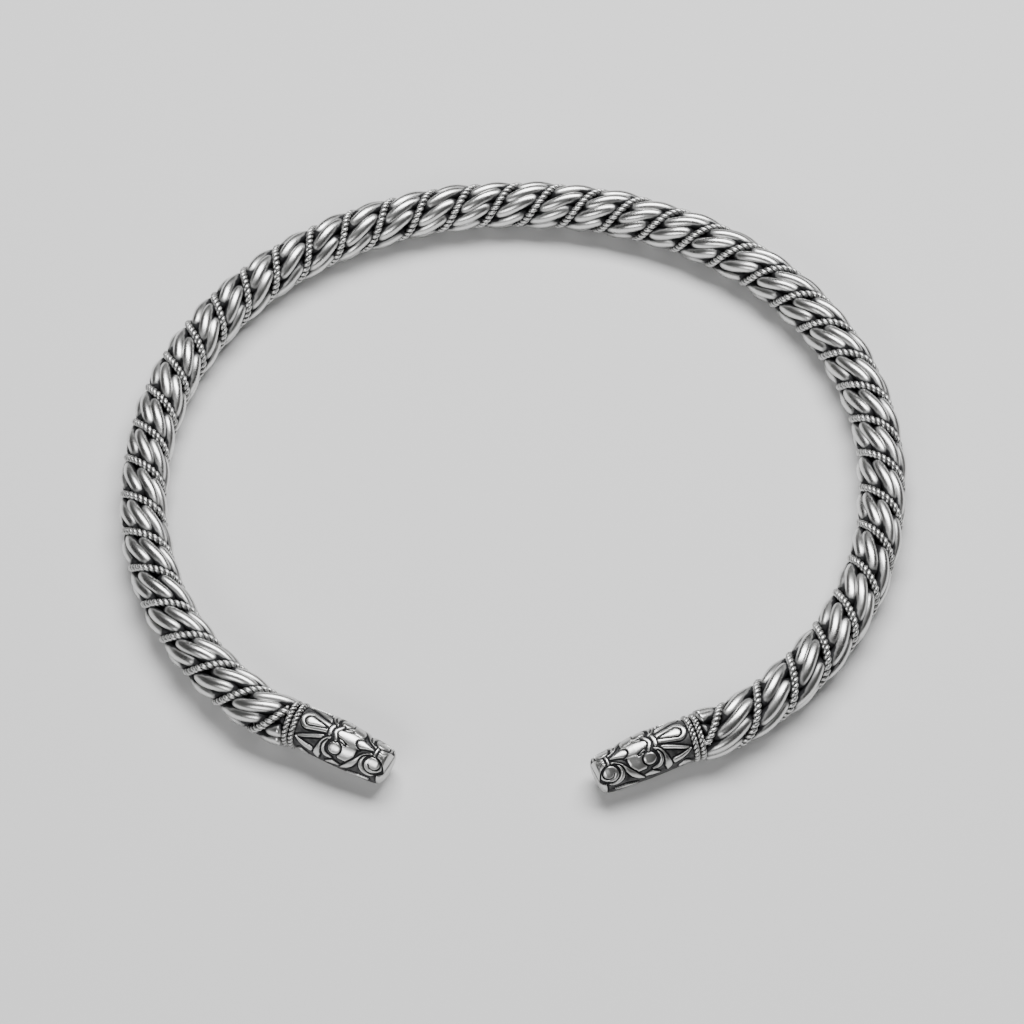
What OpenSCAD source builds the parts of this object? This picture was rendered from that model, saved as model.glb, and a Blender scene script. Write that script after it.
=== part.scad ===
// Open twisted neck ring in silver, ending in two beast heads that face each other.
// Two bulging bundles of wire are twisted into one rod, with a fine rope laid in each groove.
// +Z is up. The ring lies flat on z = 0, its opening faces -Y, and lengths are in millimetres.

/* [Ring] */
// Width of the oval, between the middles of the rod
oval_width = 142; // [120:1:170]
// Depth of the oval from front to back, between the middles of the rod
oval_depth = 136.5; // [115:0.5:165]
// Squareness of the oval, where 2 is a plain ellipse
oval_power = 2.07; // [2:0.01:2.5]
// Half of the opening, as an angle seen from the middle of the ring
opening_angle = 15.9; // [10:0.1:24]
// Angle over which the ring runs straight beside its opening, along a head
head_angle = 14; // [12:0.1:20]
// Angle over which the straight end bends into the oval
bend_angle = 10.5; // [8:0.5:14]
// How much further forward the right tip stands than the left one
right_tip_forward = 0.5; // [0:0.1:1.5]

/* [Twist] */
// Diameter over the twisted rod
rod_d = 10; // [9.4:0.05:10.6]
// Radius of a bundle's bulging outer side
bulge_r = 3.85; // [3.6:0.05:4.2]
// Length of one turn of the twist beside the left head
left_pitch = 15.65; // [14:0.05:22]
// Length of one turn of the twist beside the right head
right_pitch = 18.05; // [14:0.05:22]
// Turn of the twist where it leaves the left head, in degrees
start_turn = 99; // [0:1:180]
// Degrees of turn that are missing from the twist beside the left head, where it is looser
loose_turn = 108; // [0:1:120]
// Length of the looser twist beside the left head
loose_length = 115; // [25:1:130]
// Gap between the two bundles
bundle_gap = 0.2; // [0.1:0.05:0.4]
// Outer diameter of the fine rope in each groove
rope_d = 1.6; // [0.8:0.05:1.7]
// Depth of the ropes below the tops of the bundles
rope_sink = 0.45; // [0.3:0.05:0.8]

/* [Heads] */
// Length of a head in front of its collar
head_length = 18.25; // [17:0.05:21]
// Length of the collar, which is two soldered rings
collar_length = 2.7; // [2.4:0.1:4]
// Diameter over the collar
collar_d = 8.9; // [8:0.05:10]
// Height of the raised ornament on a head
relief = 0.35; // [0.15:0.05:0.5]
// Turn of the left head about its own length, towards the outside of the ring, in degrees
left_head_roll = 2.5; // [0:0.5:8]
// Gap between a collar and the ends of the wires
seat_gap = 0.1; // [0.05:0.05:0.3]

/* [Hidden] */

silver = "silver";
polished_silver = "gainsboro";
dark_silver = "darkgray";

rod_r = rod_d / 2;
half_width = oval_width / 2;
depth_share = oval_depth / oval_width;
head_total = head_length + collar_length;

// The oval, by the angle from the front, clockwise seen from above
function oval_reach(a) = half_width
    * pow(pow(abs(sin(a)), oval_power) + pow(abs(cos(a)) / depth_share, oval_power), -1 / oval_power);
function oval_point(a) = oval_reach(a) * [-sin(a), -cos(a)];

// The ring's middle line, which leaves the oval for a straight chord along each head
straight_end = opening_angle + head_angle;
chord_end = straight_end + bend_angle;
left_tip = oval_point(opening_angle);
right_tip = left_tip - [0, right_tip_forward];
chord_point = oval_point(chord_end);
function smooth_rise(t) = t * t * (3 - 2 * t);
function chord_share(a) = smooth_rise(max(0, min(1, (chord_end - a) / bend_angle)));
function side_point(a, tip) =
    let (share = chord_share(a), along = (a - opening_angle) / (chord_end - opening_angle))
    (1 - share) * oval_point(a) + share * (tip + along * (chord_point - tip));
function mirrored(p) = [-p.x, p.y];
function ring_point(a) = a <= 180 ? side_point(a, left_tip) : mirrored(side_point(360 - a, right_tip));

// Length along the ring from the left tip, against the angle from the front
angle_steps = 720;
angle_step = (360 - 2 * opening_angle) / angle_steps;
function step_length(i) =
    norm(ring_point(opening_angle + (i + 1) * angle_step) - ring_point(opening_angle + i * angle_step));
length_angle = [
    for (i = 0, run = 0; i <= angle_steps; run = run + step_length(i), i = i + 1)
        [run, opening_angle + i * angle_step]
];
whole_length = length_angle[angle_steps][0];

// A point beside the middle line: along is the length from the left tip, out is away from the middle
nudge = 0.05;
function place(along, out, up) =
    let (a = lookup(along, length_angle),
         ahead = ring_point(a + nudge) - ring_point(a - nudge),
         way = ahead / norm(ahead),
         spot = ring_point(a))
    [spot.x - out * way.y, spot.y + out * way.x, up];

// The twist: its turn falls clockwise, faster beside the left head
rod_start = head_total + seat_gap;
rod_length = whole_length - 2 * rod_start;
left_rate = 360 / left_pitch;
right_rate = 360 / right_pitch;
function loosened(run) = let (left = max(0, 1 - run / loose_length)) loose_turn * (1 - left * left);
function twist(run) = start_turn + loosened(run)
    - left_rate * run - (right_rate - left_rate) * run * run / (2 * rod_length);
sections_per_turn = 9.6;
section_count = ceil((left_rate + right_rate) / 2 * rod_length / 360 * sections_per_turn);
function turned(p, angle) = [p.x * cos(angle) - p.y * sin(angle), p.x * sin(angle) + p.y * cos(angle)];

// A rope runs steeply round the rod, so its section across the rod is a wide oval
rope_sides = 5;
rope_seat = rod_r - rope_d / 2 - rope_sink;
rope_slope = atan(rope_seat * (left_rate + right_rate) / 2 * PI / 180);
rope_half_width = rope_d / 2 / cos(rope_slope);
rope_section = [
    for (i = [0:rope_sides - 1])
        [rope_seat + rope_d / 2 * cos(i * 360 / rope_sides), rope_half_width * sin(i * 360 / rope_sides)]
];

// A bundle's section is an arc round its own middle, whose ends leave room for the ropes, and a flat
corner_room = 0.6;
inner_room = 0.7;
bulge_middle = [0, rod_r - bulge_r];
flat_end = rope_seat - rope_d / 2 - inner_room;
arc_points = 6;
arc_start = asin((rope_half_width + corner_room - bulge_middle.y) / bulge_r);
arc_step = (180 - 2 * arc_start) / (arc_points - 1);
bundle_section = concat(
    [for (i = [0:arc_points - 1])
        let (angle = arc_start + i * arc_step) bulge_middle + bulge_r * [cos(angle), sin(angle)]],
    [for (x = [-flat_end, 0, flat_end]) [x, bundle_gap / 2]]
);

// Points of a section swept along the rod and turned with the twist
function twisted_points(section, turn) = [
    for (i = [0:section_count])
        let (run = rod_length * i / section_count, angle = twist(run) + turn)
        for (p = section)
            let (q = turned(p, angle)) place(rod_start + run, q.x, rod_r + q.y)
];

// Side faces between two sections: those from hollow_from on are split along their hollow diagonal
function sweep_sides(rings, sides, hollow_from) = [
    for (i = [0:rings - 2], j = [0:sides - 1])
        let (k = (j + 1) % sides, a = i * sides + j, b = i * sides + k, c = a + sides, d = b + sides)
        for (face = j < hollow_from ? [[a, c, d], [a, d, b]] : [[a, c, b], [c, d, b]]) face
];
// End faces, as triangles from the hub point of the section
hub = 2;
function sweep_ends(rings, sides) = [
    for (j = [1:sides - 2], last = [0, (rings - 1) * sides])
        let (a = (hub + j) % sides, b = (hub + j + 1) % sides)
        last == 0 ? [hub, a, b] : [last + hub, last + b, last + a]
];
module sweep(points, rings, sides, hollow_from) {
    faces = concat(sweep_sides(rings, sides, hollow_from), sweep_ends(rings, sides));
    polyhedron(points = points, faces = faces);
}

// Head sections in front of the collar: distance, half width, height of the top, depth of the underside,
// and the share by which the flanks lean in towards the top
drawn_length = 18.25;
head_table = [
    [0.0, 4.15, 4.15, 4.10, 0.00],
    [2.0, 4.30, 4.30, 4.20, 0.00],
    [5.0, 4.42, 4.42, 4.25, 0.00],
    [8.2, 4.45, 4.38, 4.30, 0.02],
    [10.5, 4.28, 4.15, 4.35, 0.06],
    [12.5, 4.08, 3.85, 4.40, 0.13],
    [14.5, 3.92, 3.62, 4.35, 0.19],
    [16.2, 3.75, 3.42, 4.25, 0.24],
    [17.0, 3.65, 3.24, 4.00, 0.26],
    [17.6, 3.35, 2.95, 3.65, 0.26],
    [18.0, 2.90, 2.55, 3.10, 0.26],
    [drawn_length, 2.20, 1.90, 2.30, 0.26]
];
function head_size(run, column) = lookup(run, [for (row = head_table) [row[0], row[column]]]);

// Gap from a point to a bar whose half width changes from its first end to its second
function share_along(p, a, b) = max(0, min(1, (p - a) * (b - a) / ((b - a) * (b - a))));
function bar_gap(p, bar, first_r, second_r) =
    let (share = share_along(p, bar[0], bar[1]))
    norm(p - bar[0] - share * (bar[1] - bar[0])) - first_r - share * (second_r - first_r);
// Gap from a point to a line of bars of one half width
line_r = 0.42;
function line_gap(p, path) =
    min([for (i = [0:len(path) - 2]) bar_gap(p, [path[i], path[i + 1]], line_r, line_r)]);

// The raised ornament on one side of the top line, as distances along the head and round it
eye = [8.5, 3.05];
eye_r = 1.25;
nostril = [16.4, 2.7];
nostril_r = 1.25;
brow_loop = [[2.1, 0], [6.4, 0]];
brow_loop_r = [1.85, 0.85];
snout_drop = [[13.0, 0], [15.3, 0]];
snout_drop_r = [0.98, 0.1];
forehead_plate = [[9.0, 0], [11.6, 0]];
forehead_plate_r = [0.8, 1.3];
cheek_plate = [[10.6, 3.0], [11.3, 3.2]];
cheek_plate_r = 1.4;
tip_plate_start = 16.6;
ornament_lines = [
    [[6.45, 0], [6.6, 1.0]],
    [[7.5, 0], [8.3, 1.6]],
    [[5.6, 1.9], [0.4, 3.8], [4.0, 5.3]],
    [[7.0, 1.5], [5.7, 3.2], [5.3, 5.7]],
    [[6.4, 3.2], [6.6, 4.4], [8.0, 5.2]],
    [[15.9, 0], [15.9, 1.2]],
    [[15.2, 1.1], [13.4, 2.9], [12.3, 5.1]],
    [[14.5, 2.3], [14.0, 3.6], [14.6, 5.0], [16.7, 5.0]],
    [[1.0, 7.7], [3.0, 7.6]],
    [[7.6, 6.6], [9.8, 6.3]],
    [[11.6, 8.4], [15.4, 8.1]]
];
function ornament_gap(p) = min(concat(
    [bar_gap(p, brow_loop, brow_loop_r[0], brow_loop_r[1]),
     bar_gap(p, snout_drop, snout_drop_r[0], snout_drop_r[1]),
     bar_gap(p, forehead_plate, forehead_plate_r[0], forehead_plate_r[1]),
     bar_gap(p, cheek_plate, cheek_plate_r, cheek_plate_r),
     norm(p - eye) - eye_r,
     norm(p - nostril) - nostril_r,
     tip_plate_start - p.x],
    [for (path = ornament_lines) line_gap(p, path)]
));
edge = 0.35;
boss_share = 0.5;
function raised(gap) = max(0, min(1, 0.5 - gap / edge));
function boss(p, centre, r) = let (share = norm(p - centre) / r) share < 1 ? sqrt(1 - share * share) : 0;
function ornament(p) =
    relief * (raised(ornament_gap(p)) - 1 + boss_share * (boss(p, eye, eye_r) + boss(p, nostril, nostril_r)));

// Stations along a head from the tip back to the collar, as the head is drawn, and along the collar
drawn_stations = 26;
first_station = 0.28;
last_station = 17.65;
tip_station = 18.0;
station_step = (last_station - first_station) / (drawn_stations - 1);
head_stations = concat(
    [drawn_length, tip_station],
    [for (i = [drawn_stations - 1:-1:0]) first_station + i * station_step]
);
collar_bead = collar_length / 2;
bead_profile = [[0.05, 0.5], [0.3, 1], [0.7, 1], [0.95, 0.5]];
collar_groove = 0.45;
collar_stations = [for (bead = [0, 1], row = bead_profile) (bead + row[0]) * collar_bead];

// Angles round a head from the top line, closer together where the ornament is
half_girth = [0, 9, 18, 27, 36, 45, 54, 63, 72, 82, 93, 105, 119, 138, 160, 180];
girth = concat(half_girth, [for (i = [len(half_girth) - 2:-1:1]) 360 - half_girth[i]]);

function head_point(run, angle) =
    let (top = angle <= 90 || angle >= 270,
         wide = head_size(run, 1),
         tall = head_size(run, top ? 2 : 3),
         lean = 1 - head_size(run, 4) * cos(angle),
         side = min(angle, 360 - angle) * PI / 180 * wide,
         lift = ornament([run, side]))
    [-(wide + lift) * lean * sin(angle), (tall + lift) * cos(angle)];
function collar_reach(back) =
    let (bead = back / collar_bead)
    collar_d / 2 - collar_groove * (1 - lookup(bead - floor(bead), bead_profile));
// side is 1 for the left head and -1 for the right one, whose points run round it the other way
function rolled_place(side, along, p, roll) =
    let (q = turned(p, roll)) place(side > 0 ? along : whole_length - along, q.x, rod_r + q.y);
function head_points(side, roll) = concat(
    [for (run = head_stations, turn = girth)
        let (angle = side > 0 ? turn : 360 - turn)
        rolled_place(side, head_length * (1 - run / drawn_length), head_point(run, angle), roll)],
    [for (back = collar_stations, turn = girth)
        let (angle = side * turn)
        rolled_place(side, head_length + back, collar_reach(back) * [-sin(angle), cos(angle)], roll)]
);

// The whole ring is moved so that its box is centred on the origin and stands on z = 0
bundle_a_points = twisted_points(bundle_section, 0);
bundle_b_points = twisted_points(bundle_section, 180);
left_head_points = head_points(1, -left_head_roll);
right_head_points = head_points(-1, 0);
rod_points = concat(bundle_a_points, bundle_b_points);
head_ends = concat(left_head_points, right_head_points);
centre_y = (max([for (p = rod_points) p.y]) + min([for (p = head_ends) p.y])) / 2;
lowest_z = min([for (p = rod_points) p.z]);
module seated() {
    translate([0, -centre_y, -lowest_z]) children();
}

module wire_bundle(points) {
    seated() sweep(points, section_count + 1, len(bundle_section), arc_points - 1);
}
module groove_rope(turn) {
    seated() sweep(twisted_points(rope_section, turn), section_count + 1, rope_sides, 0);
}
module head(points) {
    seated() sweep(points, len(head_stations) + len(collar_stations), len(girth), len(girth));
}

module wire_bundle_a() {
    color(silver) wire_bundle(bundle_a_points);
}
module wire_bundle_b() {
    color(silver) wire_bundle(bundle_b_points);
}
module groove_rope_a() {
    color(dark_silver) groove_rope(0);
}
module groove_rope_b() {
    color(dark_silver) groove_rope(180);
}
module left_head() {
    color(polished_silver) head(left_head_points);
}
module right_head() {
    color(polished_silver) head(right_head_points);
}

wire_bundle_a();
wire_bundle_b();
groove_rope_a();
groove_rope_b();
left_head();
right_head();
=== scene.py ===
"""Looks of the twisted neck ring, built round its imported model.

The ring keeps the rules of the model's source: a middle line by the angle from the front, a rod along
it whose section turns, and a head at each end. Lengths are millimetres until a mesh is made.
"""
import math

import bpy
import numpy as np
from mathutils import Matrix, Vector


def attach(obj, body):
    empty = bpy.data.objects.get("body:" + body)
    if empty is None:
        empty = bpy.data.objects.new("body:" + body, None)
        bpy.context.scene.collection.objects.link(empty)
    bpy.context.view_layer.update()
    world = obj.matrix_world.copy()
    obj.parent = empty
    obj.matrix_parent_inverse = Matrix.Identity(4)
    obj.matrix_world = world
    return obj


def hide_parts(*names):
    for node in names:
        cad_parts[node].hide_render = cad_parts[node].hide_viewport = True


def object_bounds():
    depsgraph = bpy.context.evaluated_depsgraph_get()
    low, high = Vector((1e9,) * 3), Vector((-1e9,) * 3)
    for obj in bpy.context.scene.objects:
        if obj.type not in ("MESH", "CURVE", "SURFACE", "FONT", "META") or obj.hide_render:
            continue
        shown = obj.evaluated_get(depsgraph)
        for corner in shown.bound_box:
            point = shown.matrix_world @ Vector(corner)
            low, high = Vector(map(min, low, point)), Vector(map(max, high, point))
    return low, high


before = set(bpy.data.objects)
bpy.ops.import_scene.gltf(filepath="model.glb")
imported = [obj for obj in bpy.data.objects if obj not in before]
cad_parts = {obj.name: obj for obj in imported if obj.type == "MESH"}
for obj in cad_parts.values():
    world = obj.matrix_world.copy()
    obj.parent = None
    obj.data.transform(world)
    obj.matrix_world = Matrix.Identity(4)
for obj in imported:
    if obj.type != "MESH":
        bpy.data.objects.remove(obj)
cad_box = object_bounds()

MM = 0.001
TURN = 2 * math.pi

# The ring, with the values of the model's source
OVAL_WIDTH = 142
OVAL_DEPTH = 136.5
OVAL_POWER = 2.07
OPENING_ANGLE = 15.9
HEAD_ANGLE = 14.0
BEND_ANGLE = 10.5
RIGHT_TIP_FORWARD = 0.5
ROD_R = 10 / 2
LEFT_PITCH = 15.65
RIGHT_PITCH = 18.05
START_TURN = math.radians(99)
LOOSE_TURN = math.radians(108)
LOOSE_LENGTH = 115
ROPE_D = 1.6
ROPE_SINK = 0.45
HEAD_LENGTH = 18.25
COLLAR_LENGTH = 2.7
COLLAR_D = 8.9
LEFT_HEAD_ROLL = math.radians(-2.5)
SEAT_GAP = 0.1

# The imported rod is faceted: at the back it reaches CAD_BACK_REACH from its middle line, less than ROD_R.
# The dressed rod reaches REACH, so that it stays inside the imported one.
CAD_TOP = cad_box[1][2] / MM
CAD_BACK = cad_box[1][1] / MM
CAD_BACK_REACH = 4.917
REACH = 4.85
MIDDLE_HEIGHT = CAD_TOP / 2
CENTRE_Y = OVAL_DEPTH / 2 + CAD_BACK_REACH - CAD_BACK


def smooth(low, high, x):
    """0 below low, 1 above high, and a smooth rise between."""
    t = np.clip((x - low) / (high - low), 0, 1)
    return t * t * (3 - 2 * t)


def unit(vectors):
    """Vectors brought to length 1."""
    return vectors / np.linalg.norm(vectors, axis=-1, keepdims=True)


def lengths_along(points):
    """Length along a line of points, from its first point to each of them."""
    steps = np.linalg.norm(np.diff(points, axis=0), axis=1)
    return np.concatenate([[0], np.cumsum(steps)])


# The ring's middle line: an oval that runs straight beside its opening
def oval_point(angle):
    """Points of the oval at angles in degrees from the front, clockwise seen from above."""
    a = np.radians(angle)
    wide = np.abs(np.sin(a)) ** OVAL_POWER
    deep = (np.abs(np.cos(a)) * OVAL_WIDTH / OVAL_DEPTH) ** OVAL_POWER
    reach = OVAL_WIDTH / 2 * (wide + deep) ** (-1 / OVAL_POWER)
    return np.stack([-reach * np.sin(a), -reach * np.cos(a)], -1)


CHORD_END = OPENING_ANGLE + HEAD_ANGLE + BEND_ANGLE
CHORD_POINT = oval_point(CHORD_END)
LEFT_TIP = oval_point(OPENING_ANGLE)
RIGHT_TIP = LEFT_TIP - np.array([0, RIGHT_TIP_FORWARD])


def ring_point(angle):
    """Points of the middle line, which leaves the oval for a straight chord along each head."""
    angle = np.asarray(angle, float)[..., None]
    side = np.minimum(angle, 360 - angle)
    tip = np.where(angle > 180, RIGHT_TIP, LEFT_TIP)
    share = smooth(0, BEND_ANGLE, CHORD_END - side)
    along = (side - OPENING_ANGLE) / (CHORD_END - OPENING_ANGLE)
    points = (1 - share) * oval_point(side[..., 0]) + share * (tip + along * (CHORD_POINT - tip))
    points[..., 0] *= np.where(angle[..., 0] > 180, -1, 1)
    return points


ANGLE_STEPS = 720
NUDGE = 0.05
ANGLES = np.linspace(OPENING_ANGLE, 360 - OPENING_ANGLE, ANGLE_STEPS + 1)
LENGTHS = lengths_along(ring_point(ANGLES))
WHOLE_LENGTH = LENGTHS[-1]


def way_at(angle):
    """Unit direction of the middle line, clockwise seen from above."""
    return unit(ring_point(angle + NUDGE) - ring_point(angle - NUDGE))


def place(along, out, up):
    """Points beside the middle line, by the length from the left tip, the way out and the way up."""
    angle = np.interp(along, LENGTHS, ANGLES)
    way = way_at(angle)
    spot = ring_point(angle)
    x = spot[..., 0] - out * way[..., 1]
    y = spot[..., 1] + out * way[..., 0] - CENTRE_Y
    return np.stack([x, y, MIDDLE_HEIGHT + up], -1)


# The twist of the rod, in radians by the length from the rod's left end
ROD_START = HEAD_LENGTH + COLLAR_LENGTH + SEAT_GAP
ROD_LENGTH = WHOLE_LENGTH - 2 * ROD_START
LEFT_RATE = TURN / LEFT_PITCH
RIGHT_RATE = TURN / RIGHT_PITCH
TWIST_STEPS = 4000
RUNS = np.linspace(0, ROD_LENGTH, TWIST_STEPS + 1)
LOOSENED = LOOSE_TURN * (1 - np.clip(1 - RUNS / LOOSE_LENGTH, 0, 1) ** 2)
TWISTED = LEFT_RATE * RUNS + (RIGHT_RATE - LEFT_RATE) * RUNS ** 2 / (2 * ROD_LENGTH) - LOOSENED
WHOLE_TWIST = TWISTED[-1]


def in_rod(twisted, x, y, side):
    """Points of the rod's section where it has twisted so far. side is 0, or 1 for half a turn on."""
    run = np.interp(twisted, TWISTED, RUNS)
    turn = START_TURN - twisted + side * math.pi
    out = x * np.cos(turn) - y * np.sin(turn)
    up = x * np.sin(turn) + y * np.cos(turn)
    return place(ROD_START + run, out, up)


def depth_in_rod(points):
    """How deep points lie below the rod's reach, by their distance from its middle line."""
    across = points[:, :2] + np.array([0, CENTRE_Y])
    angle = np.degrees(np.arctan2(-across[:, 0], -across[:, 1])) % 360
    way = way_at(angle)
    gap = across - ring_point(angle)
    out = gap[:, 1] * way[:, 0] - gap[:, 0] * way[:, 1]
    return REACH - np.hypot(out, points[:, 2] - MIDDLE_HEIGHT)


# Meshes
def closed_faces(rows, columns):
    """Quads of a grid whose columns close into a ring, and a face at each end of it."""
    start = np.arange(rows - 1)[:, None] * columns
    here = np.arange(columns)[None, :]
    ahead = (here + 1) % columns
    quads = np.stack([start + here, start + here + columns, start + ahead + columns, start + ahead], -1)
    first_end = list(range(columns))
    last_end = [(rows - 1) * columns + i for i in reversed(range(columns))]
    return quads.reshape(-1, 4).tolist() + [first_end, last_end]


def tube(path, radius, sides, ups):
    """Points and faces of a closed tube. radius is one number or one a point, and ups one vector or one
    a point: it says from where the sides are counted."""
    ahead = unit(np.gradient(path, axis=0))
    side = unit(np.cross(ahead, ups))
    up = np.cross(side, ahead)
    around = np.arange(sides) * TURN / sides
    ring = side[:, None] * np.cos(around)[None, :, None] + up[:, None] * np.sin(around)[None, :, None]
    radius = np.broadcast_to(radius, len(path))
    points = (path[:, None] + ring * radius[:, None, None]).reshape(-1, 3)
    return points, closed_faces(len(path), sides)


class Build:
    """Collects points, faces and the darkness of each point, its patina and painted shade, into one mesh.
    """

    def __init__(self):
        self.points = []
        self.darkness = []
        self.faces = []
        self.count = 0

    def add(self, points, faces, dark):
        self.points.append(points)
        self.darkness.append(np.broadcast_to(dark, len(points)))
        self.faces += [[i + self.count for i in face] for face in faces]
        self.count += len(points)

    def make(self, name, material, slot, node):
        """Makes the piece that is shown in place of a node of the model."""
        mesh = bpy.data.meshes.new(name)
        mesh.from_pydata(np.concatenate(self.points) * MM, [], self.faces)
        # The attribute dark holds patina and painted shade
        layer = mesh.attributes.new("dark", "FLOAT", "POINT")
        layer.data.foreach_set("value", np.concatenate(self.darkness).astype(np.float32))
        mesh.shade_smooth()
        mesh.materials.append(material)
        piece = bpy.data.objects.new(name, mesh)
        bpy.context.scene.collection.objects.link(piece)
        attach(piece, "root")
        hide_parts(node)


# Wires of a bundle. Each winds round inside its bundle on a loop of an outer arc, a corner, a flat
# inner side and a corner. Between two shares of a corner it thins out towards the hidden flat side.
WIRES = 6
WIRE_R = 1.25
THIN_WIRE_R = 0.45
WIRE_SIDES = 14
LOOPS_PER_TURN = 1.18
LOOP_SAMPLES = 36
ARC_R = 2.55
ARC_START = math.radians(25)
CORNER_R = 1.0
THINNING = (0.1, 0.8)
UPWARD = np.array([0.0, 0.0, 1.0])

# How unevenly the wires lie, as shares of a loop
SLIP = 0.012
WANDER = 0.01
WANDER_RATE = 1.7

# Depths below the rod's reach between which the silver darkens: partly patina, partly painted shade
# between the wires and down their sides
WIRE_DARKENS = (0.45, 0.85)

# The dark core that a bundle's wires lie round: an arc outside and a flat side inside. Its darkness is
# painted shade seen through the gaps between the wires
CORE_STEPS_PER_TURN = 14
CORE_ARC_R = 2.45
CORE_ARC_ANGLES = np.radians(np.linspace(45, 135, 6))
CORE_FLAT_X = 1.3
CORE_FLAT_Y = 1.15


def wire_loop(share):
    """A wire's place in its bundle's section by the share of its loop, and its radius there."""
    arc_y = REACH - WIRE_R - ARC_R
    corner_x = (ARC_R - CORNER_R) * math.cos(ARC_START)
    corner_y = arc_y + (ARC_R - CORNER_R) * math.sin(ARC_START)
    arc = (math.pi - 2 * ARC_START) * ARC_R
    bend = (math.pi / 2 + ARC_START) * CORNER_R
    flat = 2 * corner_x
    whole = arc + 2 * bend + flat
    q = np.mod(share, 1) * whole

    on_arc = ARC_START + q / ARC_R
    on_first = math.pi - ARC_START + (q - arc) / CORNER_R
    on_flat = q - arc - bend
    on_second = -math.pi / 2 + (on_flat - flat) / CORNER_R
    legs = [q < arc, q < arc + bend, q < arc + bend + flat]
    leg_xs = [ARC_R * np.cos(on_arc), -corner_x + CORNER_R * np.cos(on_first), -corner_x + on_flat]
    leg_ys = [
        arc_y + ARC_R * np.sin(on_arc),
        corner_y + CORNER_R * np.sin(on_first),
        np.full_like(q, corner_y - CORNER_R),
    ]
    x = np.select(legs, leg_xs, corner_x + CORNER_R * np.cos(on_second))
    y = np.select(legs, leg_ys, corner_y + CORNER_R * np.sin(on_second))

    from_top = np.abs(np.mod(q - arc / 2 + whole / 2, whole) - whole / 2)
    thin = smooth(arc / 2 + THINNING[0] * bend, arc / 2 + THINNING[1] * bend, from_top)
    return x, y, WIRE_R + (THIN_WIRE_R - WIRE_R) * thin


def bundle(side, rng):
    """One bundle: its wires and the dark core, a painted shade, that they lie round."""
    build = Build()
    loops = WHOLE_TWIST / TURN * LOOPS_PER_TURN
    shares = np.append(np.arange(0, loops, 1 / LOOP_SAMPLES)[:-1], loops)
    for i in range(WIRES):
        slip = rng.uniform(-SLIP, SLIP)
        drift = rng.uniform(0, TURN)
        wander = WANDER * np.sin(shares * WANDER_RATE + drift)
        x, y, radius = wire_loop(shares + i / WIRES + slip + wander)
        path = in_rod(shares / LOOPS_PER_TURN * TURN, x, y, side)
        points, faces = tube(path, radius, WIRE_SIDES, UPWARD)
        # Painted shade with patina: each wire darkens the deeper it lies below the rod's reach
        build.add(points, faces, smooth(*WIRE_DARKENS, depth_in_rod(points)))

    rows = int(WHOLE_TWIST / TURN * CORE_STEPS_PER_TURN)
    twisted = np.linspace(0, WHOLE_TWIST, rows)
    xs = np.append(CORE_ARC_R * np.cos(CORE_ARC_ANGLES), [-CORE_FLAT_X, CORE_FLAT_X])
    ys = np.append(CORE_ARC_R * np.sin(CORE_ARC_ANGLES), [CORE_FLAT_Y, CORE_FLAT_Y])
    core = in_rod(twisted[:, None], xs[None, :], ys[None, :], side)
    # The core is fully dark: painted shade behind the wires
    build.add(core.reshape(-1, 3), closed_faces(rows, len(xs)), 1.0)
    return build


# Ropes of two strands, in the grooves and round the collars
ROPE_SEAT = ROD_R - ROPE_D / 2 - ROPE_SINK
STRANDS = 2
STRAND_SIDES = 10
STRAND_R = 0.43
STRAND_OUT = 0.37
STRAND_PITCH = 2.1
STRAND_SAMPLES = 8
COLLAR_STRAND_R = 0.32
COLLAR_STRAND_OUT = 0.28
COLLAR_TURNS = 14
COLLAR_SAMPLES = 10
COLLAR_ROPE_SHARES = (0.25, 0.75)

# A strand darkens between these depths, as shares of its radius, and between these distances
# from the rope's centre towards what the rope lies on: patina and painted shade in the creases and under
# the rope
STRAND_DARKENS = (0.2, 0.55)
SEAT_DARKENS = (-0.1, 0.4)


def add_rope(build, centre, middle, pitch, strand_r, strand_out):
    """Adds strands twisted round a centre line, which lies on something round the middle line."""
    along = lengths_along(centre)
    ahead = unit(np.gradient(centre, axis=0))
    outward = centre - middle
    outward -= (outward * ahead).sum(1, keepdims=True) * ahead
    outward = unit(outward)
    aside = np.cross(ahead, outward)
    for strand in range(STRANDS):
        turn = TURN * along / pitch + strand * TURN / STRANDS
        path = centre + strand_out * (outward * np.cos(turn)[:, None] + aside * np.sin(turn)[:, None])
        points, faces = tube(path, strand_r, STRAND_SIDES, outward)
        from_centre = points - np.repeat(centre, STRAND_SIDES, axis=0)
        depth = strand_r + strand_out - np.linalg.norm(from_centre, axis=1)
        inward = (-from_centre * np.repeat(outward, STRAND_SIDES, axis=0)).sum(1)
        # Painted shade with patina: darker in the creases between the strands and on the side the rope
        # lies on
        dark = np.maximum(smooth(*STRAND_DARKENS, depth / strand_r), smooth(*SEAT_DARKENS, inward))
        build.add(points, faces, dark)


def groove_rope(side):
    """The fine rope in one groove of the rod."""
    build = Build()
    rope_length = ROD_LENGTH * math.hypot(1, ROPE_SEAT * (LEFT_RATE + RIGHT_RATE) / 2)
    samples = int(rope_length / STRAND_PITCH * STRAND_SAMPLES)
    twisted = np.linspace(0, WHOLE_TWIST, samples)
    centre = in_rod(twisted, ROPE_SEAT, 0 * twisted, side)
    middle = in_rod(twisted, 0 * twisted, 0 * twisted, side)
    add_rope(build, centre, middle, STRAND_PITCH, STRAND_R, STRAND_OUT)
    return build


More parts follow.
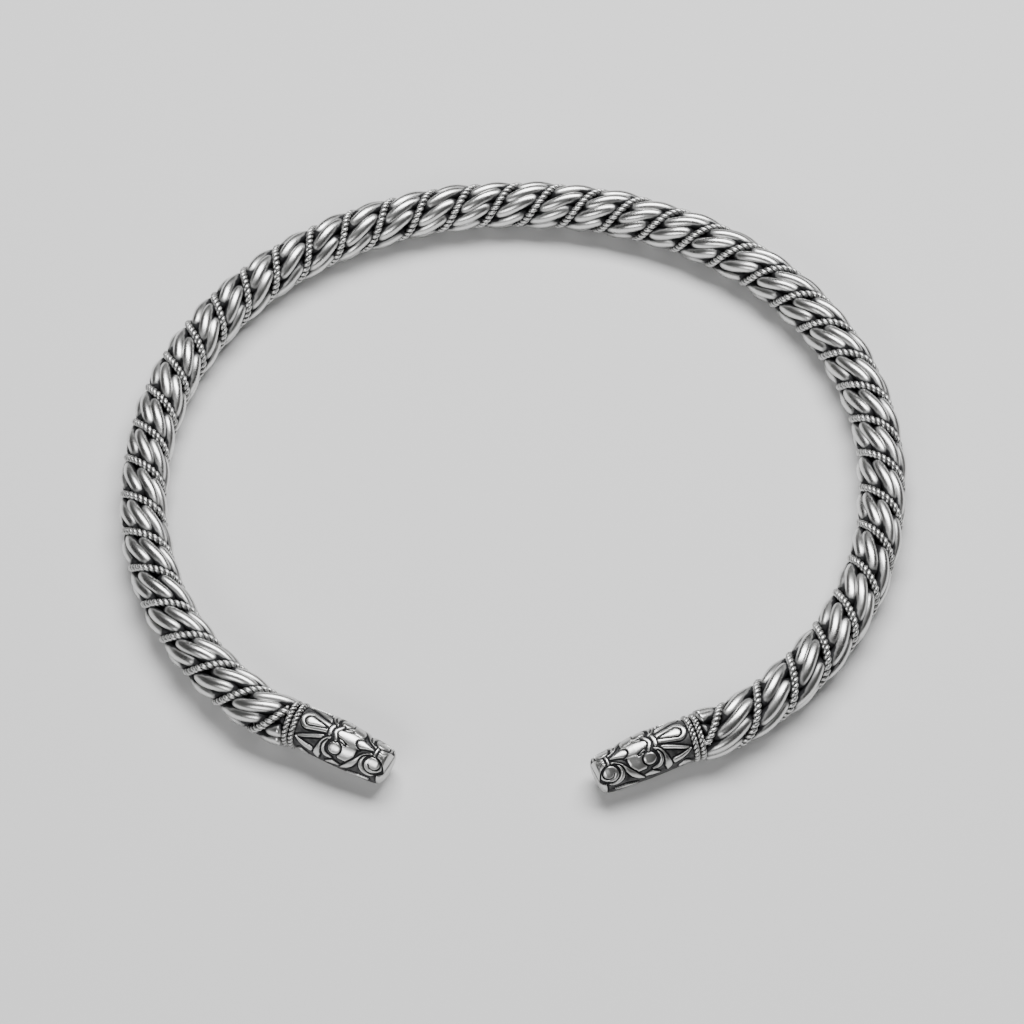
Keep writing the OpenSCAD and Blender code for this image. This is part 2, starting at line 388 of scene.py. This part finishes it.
# Sections of a head: distance in front of the collar, half width, height of the top, depth of the
# underside, and the share by which the flanks lean in towards the top
HEAD_TABLE = np.array([
    [0.0, 4.15, 4.15, 4.10, 0.00],
    [2.0, 4.30, 4.30, 4.20, 0.00],
    [5.0, 4.42, 4.42, 4.25, 0.00],
    [8.2, 4.45, 4.38, 4.30, 0.02],
    [10.5, 4.28, 4.15, 4.35, 0.06],
    [12.5, 4.08, 3.85, 4.40, 0.13],
    [14.5, 3.92, 3.62, 4.35, 0.19],
    [16.2, 3.75, 3.42, 4.25, 0.24],
    [17.0, 3.65, 3.24, 4.00, 0.26],
    [17.6, 3.35, 2.95, 3.65, 0.26],
    [18.0, 2.90, 2.55, 3.10, 0.26],
    [18.25, 2.20, 1.90, 2.30, 0.26],
])

# Heights of the ornament: its ground, the bottom of its grooves and of the chevron's slit, the crown
# of its shapes, and what stands proud of the rest. EDGE is the width of a slope, GROOVE the width of
# the groove round a shape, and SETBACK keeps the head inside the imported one.
GROUND = -0.3
DEEP = -0.45
SHALLOW = -0.3
CROWN = 0.05
CROWN_WIDTH = 0.4
PROUD = 0.03
EDGE = 0.13
GROOVE = 0.32
NARROW_GROOVE = 0.24
LASH_GROOVE = 0.2
SETBACK = 0.05

# The ornament on one side of a head. A stroke or bar has rows of: distance in front of the collar,
# distance round the head from its top line, and half width.
BROW_LOOP = [(2.1, 0, 1.85), (6.5, 0, 0.85)]
BROW_LOOP_MIDDLE = [(2.2, 0, 0.88), (5.5, 0, 0.03)]
BROW_LOOP_SLIT = [(5.3, 0, 0.05), (6.6, 0, 0.05)]
CHEVRON_INNER = [(0.3, 3.8, 0.12), (2.0, 3.27, 0.3), (4.0, 2.47, 0.36), (5.6, 1.9, 0.36)]
CHEVRON_OUTER = [(0.4, 3.9, 0.12), (1.5, 4.5, 0.3), (2.7, 5.0, 0.42), (4.0, 5.3, 0.5)]
CHEVRON_SLIT = [(1.2, 3.6, 0.02), (3.4, 2.75, 0.03), (5.8, 1.85, 0.04)]
EYE_COMMA = [
    (7.0, 1.5, 0.25),
    (6.1, 2.35, 0.24),
    (5.6, 3.4, 0.26),
    (5.4, 4.5, 0.4),
    (5.35, 5.7, 0.68),
    (5.7, 6.7, 0.12),
]
EYE_CRESCENT = [(6.7, 2.3, 0.1), (6.35, 3.2, 0.24), (6.45, 4.2, 0.3), (7.15, 5.1, 0.32), (8.4, 5.3, 0.1)]
LASH_GAP = [(9.1, 1.45, 0.12), (10.0, 1.35, 0.12), (10.8, 1.6, 0.02)]
LASH = [(9.0, 1.2, 0.16), (9.6, 1.35, 0.16), (10.2, 1.75, 0.05)]
SNOUT_DROP = [(13.0, 0, 0.98), (15.4, 0, 0.05)]
SNOUT_COMMA = [
    (15.35, 1.05, 0.2),
    (14.1, 2.0, 0.27),
    (13.4, 2.9, 0.3),
    (12.8, 3.9, 0.4),
    (12.1, 4.9, 0.54),
    (11.2, 5.9, 0.42),
    (10.3, 6.7, 0.1),
]
NOSTRIL_BAND = [
    (15.1, 1.65, 0.1),
    (14.25, 2.5, 0.26),
    (13.98, 3.6, 0.38),
    (14.25, 4.6, 0.42),
    (15.0, 5.2, 0.34),
    (16.0, 5.25, 0.3),
    (16.9, 5.0, 0.1),
]
TIP_CURL = [(16.45, 0.36, 0.1), (17.05, 0.28, 0.08), (17.6, 0.6, 0.02)]
BROW_TIE = [(6.45, 0, 0.33), (6.62, 0.95, 0.33)]
BROW_HOOK = [(7.5, 0.0, 0.3), (7.65, 0.5, 0.3), (8.0, 1.1, 0.3), (8.25, 1.55, 0.26)]
SNOUT_TIE = [(15.9, 0, 0.22), (15.92, 1.05, 0.22)]
PETALS = [
    [(0.7, 7.45, 0.1), (1.9, 7.05, 0.66), (3.3, 7.35, 0.1)],
    [(7.3, 6.8, 0.1), (8.6, 6.25, 0.48), (10.0, 6.3, 0.1)],
    [(11.5, 7.6, 0.1), (13.6, 7.2, 0.42), (15.8, 6.8, 0.1)],
]

# The spiral of the nostril, as points of its line, and its half width, also at its start and end
NOSTRIL_SPIRAL = [
    (15.4, 3.3), (15.84, 3.95), (16.78, 3.98), (17.45, 3.25), (17.5, 2.4), (17.05, 1.8), (16.5, 1.48),
    (16.0, 1.42), (15.4, 1.62), (14.82, 2.33), (14.54, 3.15), (14.62, 4.0), (15.15, 4.7), (16.1, 4.87),
    (16.8, 4.6), (17.6, 3.95), (18.0, 3.0),
]
SPIRAL_HALF = 0.13
SPIRAL_START_HALF = 0.1
SPIRAL_END_HALF = 0.02

# Plates: the corners of the cheek in turning order, the forehead's rows and end, and the tip's plate,
# which starts further forward on the flanks
CHEEK = [
    (9.2, 1.6), (10.8, 1.3), (12.3, 1.2), (12.5, 1.85), (12.4, 3.1), (11.3, 4.75), (9.6, 4.7), (8.6, 3.0),
]
FOREHEAD = [(8.7, 0, 0.8), (10.9, 0, 1.4), (12.6, 0, 1.4)]
FOREHEAD_END = 12.9
TIP_PLATE_START = 16.45
TIP_PLATE_STEP = 0.85
TIP_PLATE_TURN = (4, 5)

# Round bosses: centre, radius and rise, and the rise of the drop on the snout
EYE = (8.5, 3.05)
EYE_R = 1.2
EYE_RISE = 0.08
NOSTRIL = (16.4, 2.7)
NOSTRIL_R = 1.1
NOSTRIL_RISE = 0.06
NOSTRIL_PLATE = (16.2, 3.15)
NOSTRIL_PLATE_R = 1.7
DROP_RISE = 0.06

# Bars drawn between two rows of a curved stroke
SPLINE_STEPS = 6


def head_size(run, column):
    """A column of the head's table at distances in front of the collar."""
    return np.interp(run, HEAD_TABLE[:, 0], HEAD_TABLE[:, column])


def bar_gap(p, first, second):
    """Distance outside a bar between two rows, whose half width changes evenly."""
    a = np.array(first[:2], float)
    b = np.array(second[:2], float)
    share = np.clip(((p - a) @ (b - a)) / ((b - a) @ (b - a)), 0, 1)
    half = first[2] + share * (second[2] - first[2])
    return np.linalg.norm(p - a - share[..., None] * (b - a), axis=-1) - half


def spline(t, values):
    """Values of a smooth curve through equally spaced values."""
    values = np.concatenate([[2 * values[0] - values[1]], values, [2 * values[-1] - values[-2]]])
    i = np.clip(np.floor(t).astype(int), 0, len(values) - 4)
    f = t - i
    a, b, c, d = (values[i + k] for k in range(4))
    return b + f / 2 * (c - a + f * (2 * a - 5 * b + 4 * c - d + f * (3 * (b - c) + d - a)))


def stroke_gap(p, stroke):
    """Distance outside a curved stroke through its rows."""
    rows = np.array(stroke, float)
    t = np.linspace(0, len(rows) - 1, SPLINE_STEPS * (len(rows) - 1) + 1)
    halves = np.interp(t, np.arange(len(rows)), rows[:, 2])
    fine = np.stack([spline(t, rows[:, 0]), spline(t, rows[:, 1]), halves], -1)
    return np.min([bar_gap(p, first, second) for first, second in zip(fine[:-1], fine[1:])], axis=0)


def corner_gap(p, corners):
    """Distance outside the sides of a plate given by its corners in turning order."""
    corners = np.array(corners, float)
    gap = np.full(p.shape[:-1], -np.inf)
    for a, b in zip(corners, np.roll(corners, -1, axis=0)):
        way = unit(b - a)
        gap = np.maximum(gap, (p - a) @ np.array([way[1], -way[0]]))
    return gap


def disc_gap(p, centre, r):
    """Distance outside a disc."""
    return np.linalg.norm(p - np.array(centre), axis=-1) - r


def add_shape(height, gap, level=0.0, groove=GROOVE):
    """Raises a softly crowned shape to a level and cuts a dark groove round it."""
    cut = 1 - smooth(groove - EDGE / 2, groove + EDGE / 2, gap)
    height = height * (1 - cut) + np.minimum(height, DEEP) * cut
    top = 1 - smooth(-EDGE / 2, EDGE / 2, gap)
    return height * (1 - top) + (level + CROWN * smooth(0, CROWN_WIDTH, -gap)) * top


def cut_line(height, gap, depth=DEEP):
    """Cuts the ornament down to a depth inside a shape."""
    cut = 1 - smooth(-EDGE / 2, EDGE / 2, gap)
    return height * (1 - cut) + np.minimum(height, depth) * cut


def dome(gap, r, rise):
    """Height of a round boss of radius r."""
    inside = np.clip(-gap / r, 0, 1)
    return rise * np.sqrt(np.clip(1 - (1 - inside) ** 2, 0, 1))


def behind_eye(h, p):
    """The loop on the neck of the beast, its chevron, and the commas round the back of the eye."""
    h = add_shape(h, bar_gap(p, *BROW_LOOP))
    h = add_shape(h, bar_gap(p, *BROW_LOOP_MIDDLE))
    h = cut_line(h, bar_gap(p, *BROW_LOOP_SLIT))
    h = add_shape(h, stroke_gap(p, CHEVRON_INNER))
    h = add_shape(h, stroke_gap(p, CHEVRON_OUTER))
    h = cut_line(h, stroke_gap(p, CHEVRON_SLIT), SHALLOW)
    h = add_shape(h, stroke_gap(p, EYE_COMMA))
    return add_shape(h, stroke_gap(p, EYE_CRESCENT))


def plates(h, p):
    """The smooth plate of the forehead and the cheek, with the small lash that splits it."""
    forehead = np.minimum(bar_gap(p, *FOREHEAD[:2]), bar_gap(p, *FOREHEAD[1:]))
    forehead = np.maximum(forehead, p[..., 0] - FOREHEAD_END)
    h = add_shape(h, np.minimum(corner_gap(p, CHEEK), forehead), PROUD)
    h = cut_line(h, stroke_gap(p, LASH_GAP))
    return add_shape(h, stroke_gap(p, LASH), groove=LASH_GROOVE)


def snout(h, p):
    """The drop on the snout, the plate of the tip, and the curl of the nostril with its two commas."""
    drop = bar_gap(p, *SNOUT_DROP)
    h = add_shape(h, drop, dome(drop, SNOUT_DROP[0][2], DROP_RISE))
    h = add_shape(h, stroke_gap(p, SNOUT_COMMA))
    tip_plate = TIP_PLATE_START + TIP_PLATE_STEP * smooth(*TIP_PLATE_TURN, p[..., 1])
    h = add_shape(h, tip_plate - p[..., 0])
    h = add_shape(h, stroke_gap(p, NOSTRIL_BAND))
    h = add_shape(h, disc_gap(p, NOSTRIL_PLATE, NOSTRIL_PLATE_R))
    h = h + dome(disc_gap(p, NOSTRIL, NOSTRIL_R), NOSTRIL_R, NOSTRIL_RISE)
    h = cut_line(h, stroke_gap(p, TIP_CURL))
    halves = [SPIRAL_START_HALF] + (len(NOSTRIL_SPIRAL) - 2) * [SPIRAL_HALF] + [SPIRAL_END_HALF]
    return cut_line(h, stroke_gap(p, np.column_stack([NOSTRIL_SPIRAL, halves])))


def ornament(s, y):
    """Height of the ornament at distances in front of the collar and round from the top line."""
    p = np.stack([s, np.abs(y)], -1)
    h = np.full(s.shape, GROUND)
    for petal in PETALS:
        h = add_shape(h, stroke_gap(p, petal))
    h = behind_eye(h, p)
    h = plates(h, p)
    eye = disc_gap(p, EYE, EYE_R)
    h = add_shape(h, eye, dome(eye, EYE_R, EYE_RISE))
    h = snout(h, p)
    h = add_shape(h, bar_gap(p, *BROW_TIE), PROUD, NARROW_GROOVE)
    h = add_shape(h, stroke_gap(p, BROW_HOOK), PROUD, NARROW_GROOVE)
    return add_shape(h, bar_gap(p, *SNOUT_TIE), PROUD, NARROW_GROOVE)


# The grid of a head: rows along it, closer together at the tip, and columns round it in degrees from
# the top line, closer together down to FINE_GIRTH
HEAD_STEP = 0.07
HEAD_END_GAP = 0.02
TIP_START = 17.6
TIP_ROWS = 14
FINE_GIRTH = 130
FINE_COLUMNS = 272
COARSE_COLUMNS = 18

# Below these angles the head is plain, and sunk by UNDERSIDE_SINK
UNDERSIDE = np.radians([124, 130])
UNDERSIDE_SINK = 0.03

# The head goes on behind its body as a core that the ropes of the collar lie round. The core is fully
# dark, painted shade between the collar's strands
HEAD_CORE_BACKS = [0.1, 0.2, COLLAR_LENGTH - 0.05]
HEAD_CORE_R = COLLAR_D / 2 - 1.0

# Depths between which the ground darkens, and the grooves once more, each with its share: patina and
# painted shade in the recesses
GROUND_DARKENS = (0.03, 0.2)
GROUND_SHARE = 0.74
GROOVE_DARKENS = (0.31, 0.4)


def place_rolled(along, out, up, mirrored, roll):
    """Points beside the middle line, by the length from a head's tip. mirrored is for the right head."""
    turned_out = out * math.cos(roll) - up * math.sin(roll)
    turned_up = out * math.sin(roll) + up * math.cos(roll)
    return place(WHOLE_LENGTH - along if mirrored else along, turned_out, turned_up)


def head_body(mirrored, roll):
    """Points of a head's cast body and of the core behind it, and how dark they are with patina and
    painted shade.
    """
    runs = np.concatenate([
        np.arange(HEAD_END_GAP, TIP_START, HEAD_STEP),
        np.linspace(TIP_START, HEAD_LENGTH - HEAD_END_GAP, TIP_ROWS),
    ])[::-1]
    girth = np.radians(np.concatenate([
        np.linspace(-180, -FINE_GIRTH, COARSE_COLUMNS)[:-1],
        np.linspace(-FINE_GIRTH, FINE_GIRTH, FINE_COLUMNS),
        np.linspace(FINE_GIRTH, 180, COARSE_COLUMNS)[1:-1],
    ]))
    run, angle = np.meshgrid(runs, girth, indexing="ij")
    top = np.abs(angle) <= math.pi / 2
    wide = head_size(run, 1)
    tall = np.where(top, head_size(run, 2), head_size(run, 3))
    lean = 1 - head_size(run, 4) * np.cos(angle)
    below = smooth(*UNDERSIDE, np.abs(angle))
    lift = ornament(run, angle * wide) * (1 - below) - UNDERSIDE_SINK * below
    out = -(wide + lift - SETBACK) * lean * np.sin(angle)
    up = (tall + lift - SETBACK) * np.cos(angle)
    body = place_rolled(HEAD_LENGTH - run, out, up, mirrored, roll)
    # Painted shade with patina: the recessed ground and the grooves darken with their depth
    ground = GROUND_SHARE * smooth(*GROUND_DARKENS, -lift)
    dark = ground + (1 - GROUND_SHARE) * smooth(*GROOVE_DARKENS, -lift)

    back, angle = np.meshgrid(HEAD_CORE_BACKS, girth, indexing="ij")
    out = -HEAD_CORE_R * np.sin(angle)
    up = HEAD_CORE_R * np.cos(angle)
    core = place_rolled(HEAD_LENGTH + back, out, up, mirrored, roll)
    # The core behind the head is fully dark: painted shade
    return np.concatenate([body, core]), np.concatenate([dark, np.ones(back.shape)])


def head(mirrored, roll):
    """One head: its cast body with the ornament, and the two ropes of its collar."""
    build = Build()
    points, dark = head_body(mirrored, roll)
    build.add(points.reshape(-1, 3), closed_faces(*dark.shape), dark.ravel())
    ring_r = COLLAR_D / 2 - COLLAR_STRAND_R - COLLAR_STRAND_OUT
    around = np.linspace(0, TURN, COLLAR_TURNS * COLLAR_SAMPLES + 1)
    pitch = TURN * ring_r / COLLAR_TURNS
    for share in COLLAR_ROPE_SHARES:
        along = HEAD_LENGTH + share * COLLAR_LENGTH + 0 * around
        centre = place_rolled(along, ring_r * np.sin(around), ring_r * np.cos(around), mirrored, roll)
        middle = place_rolled(along, 0 * around, 0 * around, mirrored, roll)
        add_rope(build, centre, middle, pitch, COLLAR_STRAND_R, COLLAR_STRAND_OUT)
    if mirrored:
        build.faces = [face[::-1] for face in build.faces]
    return build


# Silver. Each noise has its scale, per metre, and its detail.
CLOUDS = (180.0, 4.0)
SPOTS = (900.0, 5.0)
GRAIN = (2600.0, 3.0)
GRAIN_DEPTH = 0.00003
SILVER_IOR = 1.5

# The share of its tone that the silver keeps between the clouds, and how far the clouds move its
# roughness down and up
CLOUDED = 0.88
SMOOTHER = 0.05
ROUGHER = 0.08

# The patina of the hollows and the painted shade of the creases and gaps lie where the attribute dark is
# high, and the spots make their border uneven
SPOT_SHARE = 0.3
PATINA_AND_SHADE_START = 0.16
PATINA_AND_SHADE_END = 0.95
PATINA_AND_SHADE_ROUGHNESS = 0.55
PATINA_AND_SHADE_METAL = 0.6


def silver(name, tone, dark_tone, roughness, grain):
    """Oxidised silver: bright crowns, hollows darkened partly by patina and partly by painted shade, a
    fine satin grain and faint clouding.
    """
    material = bpy.data.materials.new(name)
    material.use_nodes = True
    nodes = material.node_tree.nodes
    links = material.node_tree.links
    shader = nodes["Principled BSDF"]
    shader.inputs["IOR"].default_value = SILVER_IOR
    position = nodes.new("ShaderNodeTexCoord").outputs["Object"]

    def noise(scale, detail):
        made = nodes.new("ShaderNodeTexNoise")
        made.inputs["Scale"].default_value = scale
        made.inputs["Detail"].default_value = detail
        links.new(position, made.inputs["Vector"])
        return made.outputs["Fac"]

    def remap(source, **limits):
        made = nodes.new("ShaderNodeMapRange")
        for limit, value in limits.items():
            made.inputs[limit.replace("_", " ")].default_value = value
        links.new(source, made.inputs["Value"])
        return made.outputs["Result"]

    def blend(share, first, second, kind="FLOAT"):
        """Mixes from the first socket or value to the second value."""
        made = nodes.new("ShaderNodeMix")
        made.data_type = kind
        links.new(share, made.inputs["Factor"])
        if isinstance(first, bpy.types.NodeSocket):
            links.new(first, made.inputs["A"])
        else:
            made.inputs["A"].default_value = first
        made.inputs["B"].default_value = second
        return made.outputs["Result"]

    clouds = noise(*CLOUDS)
    # The attribute dark carries the patina and the painted shade of the hollows, creases and gaps
    dark = nodes.new("ShaderNodeAttribute")
    dark.attribute_name = "dark"
    spotted = nodes.new("ShaderNodeMath")
    spotted.operation = "MULTIPLY_ADD"
    spotted.inputs[1].default_value = SPOT_SHARE
    links.new(noise(*SPOTS), spotted.inputs[0])
    links.new(dark.outputs["Fac"], spotted.inputs[2])
    # Painted shade and patina: the dark attribute, made uneven by the spots, sets how far the silver goes
    # dark
    patina_and_shade = remap(spotted.outputs[0], From_Min=PATINA_AND_SHADE_START, From_Max=PATINA_AND_SHADE_END)

    clouded_tone = [CLOUDED * t for t in tone]
    bright = blend(clouds, (*clouded_tone, 1), (*tone, 1), "RGBA")
    colour = blend(patina_and_shade, bright, (*dark_tone, 1), "RGBA")
    links.new(colour, shader.inputs["Base Color"])
    shine = remap(clouds, To_Min=roughness - SMOOTHER, To_Max=roughness + ROUGHER)
    links.new(blend(patina_and_shade, shine, PATINA_AND_SHADE_ROUGHNESS), shader.inputs["Roughness"])
    links.new(remap(patina_and_shade, To_Min=1.0, To_Max=PATINA_AND_SHADE_METAL), shader.inputs["Metallic"])

    bump = nodes.new("ShaderNodeBump")
    bump.inputs["Strength"].default_value = grain
    bump.inputs["Distance"].default_value = GRAIN_DEPTH
    links.new(noise(*GRAIN), bump.inputs["Height"])
    links.new(bump.outputs["Normal"], shader.inputs["Normal"])
    return material


# The stage
FLOOR_REACH = 3.0
FLOOR_TONE = (0.72, 0.72, 0.72, 1)
FLOOR_ROUGHNESS = 0.6
WORLD_TONE = (0.5, 0.5, 0.5, 1)
WORLD_STRENGTH = 0.08


def pale_floor():
    """A plain pale floor under the ring, not part of it."""
    material = bpy.data.materials.new("pale_floor")
    material.use_nodes = True
    shader = material.node_tree.nodes["Principled BSDF"]
    shader.inputs["Base Color"].default_value = FLOOR_TONE
    shader.inputs["Roughness"].default_value = FLOOR_ROUGHNESS
    mesh = bpy.data.meshes.new("floor")
    corners = [(FLOOR_REACH * x, FLOOR_REACH * y, 0) for x, y in ((-1, -1), (1, -1), (1, 1), (-1, 1))]
    mesh.from_pydata(corners, [], [(0, 1, 2, 3)])
    mesh.materials.append(material)
    floor = bpy.data.objects.new("floor", mesh)
    bpy.context.scene.collection.objects.link(floor)


def soft_light(name, location, size, power):
    """A wide lamp that shines on the middle of the ring. Its size is in metres and its power in watts."""
    data = bpy.data.lights.new(name, "AREA")
    data.shape = "RECTANGLE"
    data.size = size[0]
    data.size_y = size[1]
    data.energy = power
    light = bpy.data.objects.new(name, data)
    light.location = location
    light.rotation_euler = (-Vector(location)).to_track_quat("-Z", "Y").to_euler()
    bpy.context.scene.collection.objects.link(light)


def lighting():
    """A faint even light from all round, a key light from behind and a weaker one from the front."""
    world = bpy.data.worlds.new("studio")
    bpy.context.scene.world = world
    world.use_nodes = True
    background = world.node_tree.nodes["Background"]
    background.inputs["Color"].default_value = WORLD_TONE
    background.inputs["Strength"].default_value = WORLD_STRENGTH
    soft_light("key", location=(0.1, 0.35, 0.75), size=(0.8, 0.4), power=14)
    soft_light("front", location=(-0.3, -0.7, 0.5), size=(0.6, 0.3), power=4)


# The camera, fitted to the photograph: where it looks, from how far and how high, the turn of the
# ring under it, its own roll, and its focal length in pixels of a picture IMAGE_WIDTH wide
UNIT = OVAL_WIDTH / 2
LOOK_AT = (-0.005 * UNIT, -0.119 * UNIT)
DISTANCE = 10 * UNIT
ELEVATION = math.radians(54.43)
RING_TURN = math.radians(5.61)
ROLL = math.radians(3.03)
FOCAL_PIXELS = 3713
IMAGE_WIDTH = 1024
SENSOR = 36
CLIP_START = 0.01


def camera():
    """The photograph's view: over the opening from above, a long lens, slightly rolled."""
    forward = np.array([0, math.cos(ELEVATION), -math.sin(ELEVATION)])
    right = np.array([1.0, 0, 0])
    up = np.cross(right, forward)
    turn = np.array(Matrix.Rotation(RING_TURN, 3, "Z"))
    forward, right, up = (turn @ axis for axis in (forward, right, up))
    target = turn @ np.array([*LOOK_AT, 0]) + np.array([0, -CENTRE_Y, MIDDLE_HEIGHT])
    rolled_right = right * math.cos(ROLL) - up * math.sin(ROLL)
    rolled_up = right * math.sin(ROLL) + up * math.cos(ROLL)
    data = bpy.data.cameras.new("camera")
    data.sensor_width = SENSOR
    data.lens = FOCAL_PIXELS * SENSOR / IMAGE_WIDTH
    data.clip_start = CLIP_START
    seen = bpy.data.objects.new("camera", data)
    bpy.context.scene.collection.objects.link(seen)
    matrix = Matrix(np.stack([rolled_right, rolled_up, -forward], -1).tolist()).to_4x4()
    matrix.translation = Vector((target - forward * DISTANCE) * MM)
    seen.matrix_world = matrix
    bpy.context.scene.camera = seen


# The three silvers, from the polished wires to the cast heads
bright = silver(
    "bright_silver", tone=(0.74, 0.74, 0.73), dark_tone=(0.02, 0.02, 0.022), roughness=0.27, grain=0.35
)
darkened = silver(
    "darkened_silver", tone=(0.7, 0.7, 0.69), dark_tone=(0.015, 0.015, 0.017), roughness=0.3, grain=0.3
)
cast = silver(
    "cast_silver", tone=(0.64, 0.64, 0.63), dark_tone=(0.015, 0.015, 0.017), roughness=0.29, grain=0.5
)
rng = np.random.default_rng(seed=7)

camera()
lighting()
pale_floor()
for side, letter in enumerate("ab"):
    bundle(side, rng).make("bundle_" + letter, bright, "bright_silver", "wire_bundle_" + letter)
for side, letter in enumerate("ab"):
    groove_rope(side).make("rope_" + letter, darkened, "darkened_silver", "groove_rope_" + letter)
head(False, LEFT_HEAD_ROLL).make("left_beast_head", cast, "cast_silver", "left_head")
head(True, 0.0).make("right_beast_head", cast, "cast_silver", "right_head")
